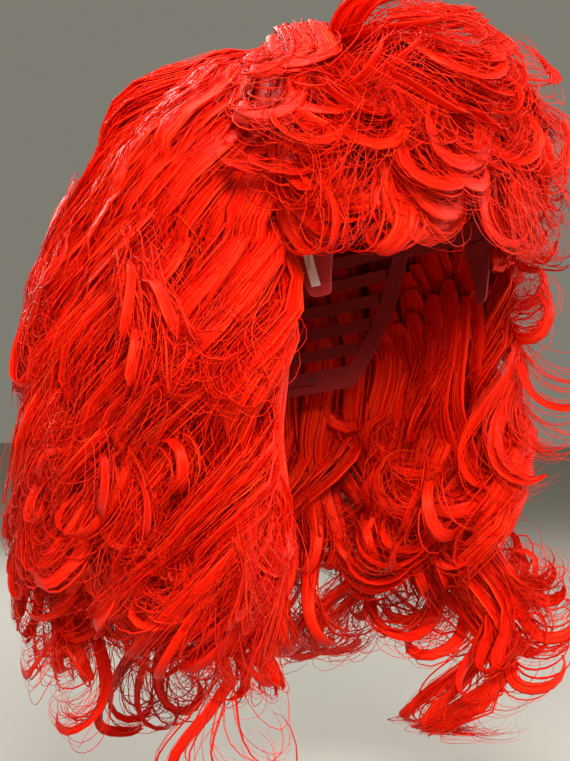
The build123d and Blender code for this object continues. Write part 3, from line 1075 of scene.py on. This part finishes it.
class LockGrower:
    """Grows bundles of locks of fibres in a sector of the head."""

    bundle_place = (0.2, 0.8)  # of its share of the sector
    phase_drift = 0.7
    phase_spread = 0.3
    sway_spread = 0.10
    tones = (0.03, 0.58)
    tone_spread = 0.07
    tone_limits = (0.02, 0.86)
    sheet_width = (1.3, 1.8)  # of the lock's width
    member_spread = 1.7
    uneven_spread = 0.22
    hair_radius = 0.125  # turns a width into an azimuth
    depth_limits = (0.04, 1.02)
    longer_share = 0.3  # of the length's jitter
    wave_length_share = 0.12  # of the shape's jitter
    root_spread = 0.03
    least_root = 0.02
    stray_share = 0.045
    stray_spread = 0.06
    stray_rise = (0, 0.14)
    stray_depths = (0, 1.09)
    stray_phase = 0.7
    stray_width = 0.75

    def __init__(self, seed: int, thinning: float) -> None:
        """Keeps the random source.

        Args:
            seed: Seed of every random choice.
            thinning: Share of the strands to grow.
        """
        self.random = np.random.default_rng(seed)
        self.thinning = thinning

    def _between(self, limits: Limits, size: int) -> Array:
        """Returns: random values between two limits."""
        return self.random.uniform(limits[0], limits[1], size)

    def _bundles(self, style: LockStyle, start: float, end: float) -> dict[str, Array]:
        """Chooses the bundles of one sector.

        Args:
            style: The kind of lock.
            start: The sector's first azimuth.
            end: The sector's last azimuth.

        Returns:
            The bundles' measures by name.
        """
        rnd, count = self.random, style.bundles
        pitch = (end - start) / count
        azimuth = start + pitch * (np.arange(count) + rnd.uniform(*self.bundle_place, count))
        depth = self._between(style.depths, count)
        # One slow pattern round the head keeps neighbouring bundles nearly in step.
        pattern = self.phase_drift * (np.sin(azimuth * 2.3 + 1.0) + np.sin(azimuth * 5.1))
        phase = pattern + rnd.normal(0, self.phase_spread, count)
        lean = self._between(style.curl_lean, count)
        lean = lean * np.where(rnd.random(count) < style.outward_share, 1, -1)
        tilt = np.where(rnd.random(count) < 0.5, lean, math.pi - lean)
        return dict(
            azimuth=azimuth, root=self._between(style.roots, count), depth=depth,
            length=self._between(style.lengths, count), wave_phase=phase,
            wave_length=self._between(style.wave_length, count),
            wave_across=self._between(style.wave_across, count),
            wave_outward=self._between(style.wave_outward, count),
            curl_length=self._between(style.curl_length, count),
            curl_radius=self._between(style.curl_radius, count), curl_tilt=tilt,
            sway=rnd.normal(0, self.sway_spread, count), width=np.full(count, style.lock_width),
            tone=rnd.uniform(*self.tones, count), spread=np.zeros(count),
        )

    def grow(self, style: LockStyle, start: float, end: float) -> tuple[Fibres, Fibres, Fibres]:
        """Chooses the fibres, ribbons and lock sheets of one sector.

        Args:
            style: The kind of lock.
            start: The sector's first azimuth.
            end: The sector's last azimuth.

        Returns:
            The single fibres, the ribbons of several fibres each, and the sheets in the locks' middles.
        """
        rnd = self.random
        locks = self._split(self._bundles(style, start, end), style.locks, style.bundle_width, LOCK_JITTER)
        locks["width"] = style.lock_width * rnd.uniform(*self.sheet_width, len(locks["width"]))
        made = []
        for count, widths, jitter in (
            (style.fibres, style.fibre_width, FIBRE_JITTER),
            (style.ribbons, style.ribbon_width, RIBBON_JITTER),
        ):
            strands = self._split(locks, max(1, round(count * self.thinning)), style.lock_width, jitter)
            size = len(strands["width"])
            strands["width"] = self._between(widths, size)
            tone = strands["tone"] + rnd.normal(0, self.tone_spread, size)
            strands["tone"] = np.clip(tone, *self.tone_limits)
            made.append(strands)
        self._stray(made[0])
        return Fibres(**made[0]), Fibres(**made[1]), Fibres(**locks)

    def _split(self, parents: dict[str, Array], count: int, width: float, jitter: Jitter) -> dict[str, Array]:
        """Splits each parent into members side by side.

        Args:
            parents: The parents' measures by name.
            count: Members in each parent.
            width: The parent's width.
            jitter: How far the members differ.

        Returns:
            The members' measures by name.
        """
        rnd = self.random
        made = {name: np.repeat(values, count) for name, values in parents.items()}
        size = len(made["azimuth"])
        even = (np.tile((np.arange(count) + 0.5) / count, size // count) - 0.5) * self.member_spread
        uneven = rnd.normal(0, self.uneven_spread, size)
        made["spread"] = made["spread"] + (even + uneven) * width / self.hair_radius
        made["depth"] = np.clip(made["depth"] + rnd.normal(0, jitter.depth, size), *self.depth_limits)
        longer = jitter.length * self.longer_share
        made["length"] = made["length"] * (1 + rnd.uniform(-jitter.length, longer, size))
        made["wave_phase"] = made["wave_phase"] + rnd.normal(0, jitter.phase, size)
        for name in ("wave_across", "curl_radius", "curl_length"):
            made[name] = made[name] * rnd.uniform(1 - jitter.shape, 1 + jitter.shape, size)
        stretch = rnd.normal(0, jitter.shape * self.wave_length_share, size)
        made["wave_length"] = made["wave_length"] * (1 + stretch)
        made["curl_tilt"] = made["curl_tilt"] + rnd.normal(0, jitter.phase, size)
        made["sway"] = made["sway"] + rnd.normal(0, jitter.sway, size)
        made["root"] = np.maximum(made["root"] + rnd.normal(0, self.root_spread, size), self.least_root)
        return made

    def _stray(self, fibres: dict[str, Array]) -> None:
        """Lets a few fibres stand off their lock.

        Args:
            fibres: The fibres' measures by name, which are changed.
        """
        rnd, size = self.random, len(fibres["azimuth"])
        stray = rnd.random(size) < self.stray_share
        changed = {
            "spread": fibres["spread"] + rnd.normal(0, self.stray_spread, size),
            "depth": np.clip(fibres["depth"] + rnd.uniform(*self.stray_rise, size), *self.stray_depths),
            "wave_phase": fibres["wave_phase"] + rnd.normal(0, self.stray_phase, size),
            "width": fibres["width"] * self.stray_width,
        }
        for name, values in changed.items():
            fibres[name] = np.where(stray, values, fibres[name])


# ---------------------------------------------------------------------------------------------
# Sub-assemblies
# ---------------------------------------------------------------------------------------------
@dataclass
class HairPart:
    """Hair of one kind round the head, grown sector by sector."""

    head: HeadSpace
    outline: HairOutline
    finish: bpy.types.Material
    lift: float = 0.55
    face_edge: Optional[float] = math.radians(60.0)
    bend_from: Place = (0.0, 0.0, 0.045)
    bend_to: Place = (0.0, 0.0, -0.060)
    quick_share: float = 0.4

    def layers(self) -> tuple[LockStyle, ...]:
        """Returns: the kinds of lock in this part, outermost first."""
        raise NotImplementedError

    def build(self, nodes: Sequence[str], body: Optional[str], sector: Limits, seed: int) -> None:
        """Grows the hair of one sector.

        Args:
            nodes: The CAD nodes that the hair stands for.
            body: The CAD body of the hair's section, or None; a piece without one is joined to the cap, a
                piece with one is left unjoined.
            sector: First and last azimuth.
            seed: Seed of the random choices.
        """
        place = HairField(self.head, self.outline, self.lift, self.face_edge)
        grower = LockGrower(seed, 1.0)
        parts, tube_seed = [], seed
        for style in self.layers():
            kinds = zip(grower.grow(style, *sector), (FIBRE_TUBES, RIBBON_TUBES, LOCK_TUBES))
            for strands, tubes in kinds:
                tube_seed += 1
                points, run = place.lay(strands)
                parts.append(TubeBuilder(tubes, tube_seed, self.head.axis_y).build(strands, points, run))
        piece = join_tubes(f"hair_{nodes[0]}", parts, self.finish)
        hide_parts(*nodes)
        self.attach(piece, body)

    def attach(self, piece: bpy.types.Object, body: Optional[str]) -> None:
        """Joins a piece without a body to the cap; a piece with a body only has its placement fixed into its
        mesh.

        Args:
            piece: The piece of hair.
            body: The body of the piece's section, or None.
        """
        if body is None:
            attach(piece, "cap")
        else:
            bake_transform(piece)


@dataclass
class HangingHair(HairPart):
    """The long hair of one hanging section's locks, from the crown and the weft rows to the curled tips."""

    outer: LockStyle = LockStyle(
        bundles=2, locks=5, fibres=19, ribbons=6, roots=(0.15, 0.60), depths=(0.64, 0.86),
        lengths=(0.33, 0.39),
    )
    middle: LockStyle = LockStyle(
        bundles=1, locks=5, fibres=5, ribbons=5, roots=(0.5, 1.0), depths=(0.42, 0.65), lengths=(0.26, 0.32),
        bundle_width=0.05,
    )
    inner: LockStyle = LockStyle(
        bundles=1, locks=5, fibres=4, ribbons=5, roots=(1.0, 1.5), depths=(0.12, 0.4), lengths=(0.20, 0.25),
        wave_across=(0.006, 0.011), bundle_width=0.045,
    )

    def layers(self) -> tuple[LockStyle, ...]:
        """Returns: the kinds of lock in this part, outermost first."""
        return self.outer, self.middle, self.inner


@dataclass
class CrownHair(HairPart):
    """The layers that fall from the crown over one section."""

    lift: float = 0.30
    cover: LockStyle = LockStyle(
        bundles=5, locks=4, fibres=18, ribbons=6, roots=(0.04, 0.20), depths=(0.60, 0.85),
        lengths=(0.27, 0.38), wave_across=(0.010, 0.018),
    )
    fluff: LockStyle = LockStyle(
        bundles=2, locks=2, fibres=14, ribbons=5, roots=(0.08, 0.5), depths=(0.7, 0.92), lengths=(0.20, 0.30),
        curl_length=(0.09, 0.14), curl_radius=(0.016, 0.026), curl_lean=(0.0, 0.7),
    )

    def layers(self) -> tuple[LockStyle, ...]:
        """Returns: the kinds of lock in this part."""
        return self.cover, self.fluff


@dataclass
class TopHair(HairPart):
    """The short hair over the middle of the crown."""

    lift: float = 0.16
    face_edge: Optional[float] = None
    cover: LockStyle = LockStyle(
        bundles=11, locks=3, fibres=12, ribbons=5, roots=(0.02, 0.10), depths=(0.35, 0.75),
        lengths=(0.13, 0.19), wave_across=(0.007, 0.013), wave_outward=(0.002, 0.005),
        curl_length=(0.05, 0.08), curl_radius=(0.018, 0.030), curl_lean=(0.0, 0.5),
    )

    def layers(self) -> tuple[LockStyle, ...]:
        """Returns: the kinds of lock in this part."""
        return (self.cover,)


@dataclass
class Fringe(HairPart):
    """One lock of the fringe, curling off the forehead."""

    lift: float = 0.30
    face_edge: Optional[float] = None
    bend_from: Place = (0.0, 0.0, 0.100)
    bend_to: Place = (0.0, 0.0, 0.066)
    over: LockStyle = LockStyle(
        bundles=3, locks=4, fibres=15, ribbons=5, roots=(0.18, 0.45), depths=(0.35, 0.68),
        lengths=(0.13, 0.17), wave_length=(0.07, 0.10), wave_across=(0.008, 0.015),
        wave_outward=(0.003, 0.007), bundle_width=0.028, curl_length=(0.07, 0.11),
        curl_radius=(0.016, 0.026), outward_share=0.6, curl_lean=(0.0, 1.2),
    )
    under: LockStyle = LockStyle(
        bundles=3, locks=3, fibres=10, ribbons=5, roots=(0.45, 0.62), depths=(0.2, 0.5),
        lengths=(0.09, 0.12), wave_length=(0.06, 0.09), wave_across=(0.006, 0.010),
        wave_outward=(0.002, 0.005), bundle_width=0.028, curl_length=(0.06, 0.08),
        curl_radius=(0.012, 0.020), outward_share=0.6, curl_lean=(0.0, 1.2),
    )

    def layers(self) -> tuple[LockStyle, ...]:
        """Returns: the kinds of lock in this part, outermost first."""
        return self.over, self.under


@dataclass
class FrontHair(HairPart):
    """The hair from the crown forward, over the fringe's roots."""

    lift: float = 0.2
    face_edge: Optional[float] = None
    cover: LockStyle = LockStyle(
        bundles=8, locks=4, fibres=15, ribbons=6, roots=(0.03, 0.25), depths=(0.4, 0.7),
        lengths=(0.15, 0.20), wave_length=(0.08, 0.11), wave_across=(0.009, 0.016),
        wave_outward=(0.003, 0.007), curl_length=(0.07, 0.11), curl_radius=(0.016, 0.026),
        outward_share=0.6, curl_lean=(0.0, 0.9),
    )

    def layers(self) -> tuple[LockStyle, ...]:
        """Returns: the kinds of lock in this part."""
        return (self.cover,)


@dataclass
class Hair:
    """All the wig's hair: crown, top, front, fringe and hanging sections."""

    head: HeadSpace = HeadSpace()
    locks: int = 3  # in each hanging section
    long_nodes: tuple[str, ...] = ("crown_hair_top", "crown_hair_side", "crown_hair_back", "_lock_")
    front_nodes: tuple[str, ...] = ("fringe_left", "fringe_centre", "fringe_right", "crown_hair_front")

    def _outline(self, frame: dict, names: tuple[str, ...]) -> HairOutline:
        """Returns: the outline of the CAD nodes whose name holds one of some words."""
        chosen = [node for name, node in frame["nodes"].items() if any(word in name for word in names)]
        return HairOutline(chosen, self.head)

    def build(self, frame: dict, finish: bpy.types.Material) -> None:
        """Grows every section of the hair.

        Args:
            frame: The loaded frame.
            finish: The hair's material.
        """
        long_outline = self._outline(frame, self.long_nodes)
        front_outline = self._outline(frame, self.front_nodes)
        self._build_sections(long_outline, finish)
        TopHair(self.head, long_outline, finish).build(["crown_hair_top"], None, (0.0, TAU), 700)
        self._build_front(front_outline, finish)

    def _build_sections(self, outline: HairOutline, finish: bpy.types.Material) -> None:
        """Grows the four sections round the back, from the crown down.

        Args:
            outline: The long hair's outline.
            finish: The hair's material.
        """
        crown, hanging = CrownHair(self.head, outline, finish), HangingHair(self.head, outline, finish)
        arc = (TAU - 2 * FACE_HALF_ANGLE) / len(Section)
        for index, section in enumerate(Section):
            name, start = section.value, FACE_HALF_ANGLE + arc * index
            crown.build([f"crown_hair_{name}"], name, (start, start + arc), 500 + 31 * index)
            for lock in range(self.locks):
                low = start + arc * lock / self.locks
                seed = 100 + 17 * (self.locks * index + lock)
                hanging.build([f"{name}_lock_{lock + 1}"], name, (low, low + arc / self.locks), seed)

    def _build_front(self, outline: HairOutline, finish: bpy.types.Material) -> None:
        """Grows the hair over the forehead.

        Args:
            outline: The front hair's outline.
            finish: The hair's material.
        """
        sector = -FACE_HALF_ANGLE, FACE_HALF_ANGLE
        FrontHair(self.head, outline, finish).build(["crown_hair_front"], None, sector, 800)
        fringe, third = Fringe(self.head, outline, finish), 2 * FACE_HALF_ANGLE / len(FringeLock)
        for index, lock in enumerate(FringeLock):
            name, low = f"fringe_{lock.value}", third * index - FACE_HALF_ANGLE
            fringe.build([name], name, (low, low + third), 900 + 13 * index)


@dataclass
class Cap:
    """The sewn cap and its nape adjusters, which keep their CAD pieces."""

    net: Finish = MeshNet()
    stitching: Finish = WeftStitching()
    elastic: Finish = WovenCloth("elastic_cloth", (0.36, 0.008, 0.007, 1.0), thread=0.0009)
    band: Finish = WovenCloth("band_cloth", (0.42, 0.009, 0.007, 1.0))
    tape: Finish = WovenCloth("tape_cloth", (0.24, 0.006, 0.006, 1.0), thread=0.0008)
    stay: Finish = MattePlastic()
    hook: Finish = BrushedSteel()

    def dress(self, frame: dict, hair_finish: bpy.types.Material) -> None:
        """Gives every CAD node its finish.

        Args:
            frame: The loaded frame.
            hair_finish: The material of the nodes that stand for hair.
        """
        finishes = {
            Slot.HAIR: hair_finish, Slot.NET: self.net.build(), Slot.STITCHING: self.stitching.build(),
            Slot.ELASTIC: self.elastic.build(), Slot.BAND: self.band.build(), Slot.TAPE: self.tape.build(),
            Slot.STAY: self.stay.build(), Slot.HOOK: self.hook.build(),
        }
        slots = {part["node"]: Slot(part["material_slot"]) for part in frame["record"]["subparts"]}
        for name, node in frame["nodes"].items():
            node.data.materials.clear()
            node.data.materials.append(finishes[slots[name]])
            log.info("%s: %s", name, slots[name].value)


# ---------------------------------------------------------------------------------------------
# Camera and studio
# ---------------------------------------------------------------------------------------------
def aim(thing: bpy.types.Object, place: Vector, target: Vector) -> None:
    """Puts an object in its place, looking at a target.

    Args:
        thing: The camera or light.
        place: Where it stands.
        target: What it looks at.
    """
    bpy.context.scene.collection.objects.link(thing)
    thing.location = place
    thing.rotation_mode = "QUATERNION"
    thing.rotation_quaternion = (target - place).to_track_quat("-Z", "Y")


@dataclass
class Camera:
    """A camera that looks level at the wig from the front on the wearer's right."""

    azimuth: float = math.radians(-48.0)
    distance: float = 1.25
    height: float = -0.062
    aside: float = 0.022
    sensor_mm: float = 36.0
    lens_mm: float = 112.0

    def build(self) -> None:
        """Adds the camera."""
        right = Vector((math.cos(self.azimuth), math.sin(self.azimuth), 0.0))
        back = Vector((math.sin(self.azimuth), -math.cos(self.azimuth), 0.0))
        target = Vector((0.0, 0.0, self.height)) - right * self.aside
        camera = bpy.data.objects.new("camera", bpy.data.cameras.new("camera"))
        aim(camera, target + back * self.distance, target)
        camera.data.sensor_width = self.sensor_mm
        camera.data.lens = self.lens_mm
        bpy.context.scene.camera = camera


@dataclass(frozen=True)
class SoftLight:
    """One square soft light."""

    name: str
    place: Place
    size: float
    power: float


@dataclass
class Studio:
    """A pale floor under the wig, and soft light all round."""

    floor_size: float = 12.0
    floor_height: float = -0.30
    floor_colour: Colour = (0.42, 0.40, 0.35, 1.0)
    floor_roughness: float = 0.95
    sky_colour: Colour = (0.42, 0.405, 0.335, 1.0)
    sky_strength: float = 0.5
    light_target: Place = (0.0, 0.0, -0.05)
    lights: tuple[SoftLight, ...] = (
        SoftLight("key", (-1.25, -1.35, 0.85), 0.7, 58.0),
        SoftLight("fill", (1.5, -1.4, 0.1), 1.4, 34.0),
        SoftLight("top", (-0.2, 0.3, 1.8), 1.0, 26.0),
        SoftLight("back", (0.6, 1.8, 0.8), 1.0, 22.0),
    )

    def build(self) -> None:
        """Adds the floor, the sky and the lights."""
        bpy.ops.mesh.primitive_plane_add(size=self.floor_size, location=(0.0, 0.0, self.floor_height))
        floor = bpy.context.object
        floor.name = "floor"
        floor.data.materials.append(ShaderTree("floor").surface({
            "Base Color": self.floor_colour, "Roughness": self.floor_roughness,
        }))
        sky = bpy.data.worlds.new("studio")
        sky.use_nodes = True
        background = sky.node_tree.nodes["Background"]
        background.inputs["Color"].default_value = self.sky_colour
        background.inputs["Strength"].default_value = self.sky_strength
        bpy.context.scene.world = sky
        for soft in self.lights:
            light = bpy.data.objects.new(soft.name, bpy.data.lights.new(soft.name, "AREA"))
            light.data.size, light.data.energy = soft.size, soft.power
            aim(light, Vector(soft.place), Vector(self.light_target))


def main() -> None:
    """Builds the scene on the frame."""
    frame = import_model()
    bpy.context.scene.view_settings.view_transform = "Standard"
    hair_finish = HairFibre().build()
    Cap().dress(frame, hair_finish)
    Hair().build(frame, hair_finish)
    Camera().build()
    Studio().build()


if __name__ == "__main__":
    main()
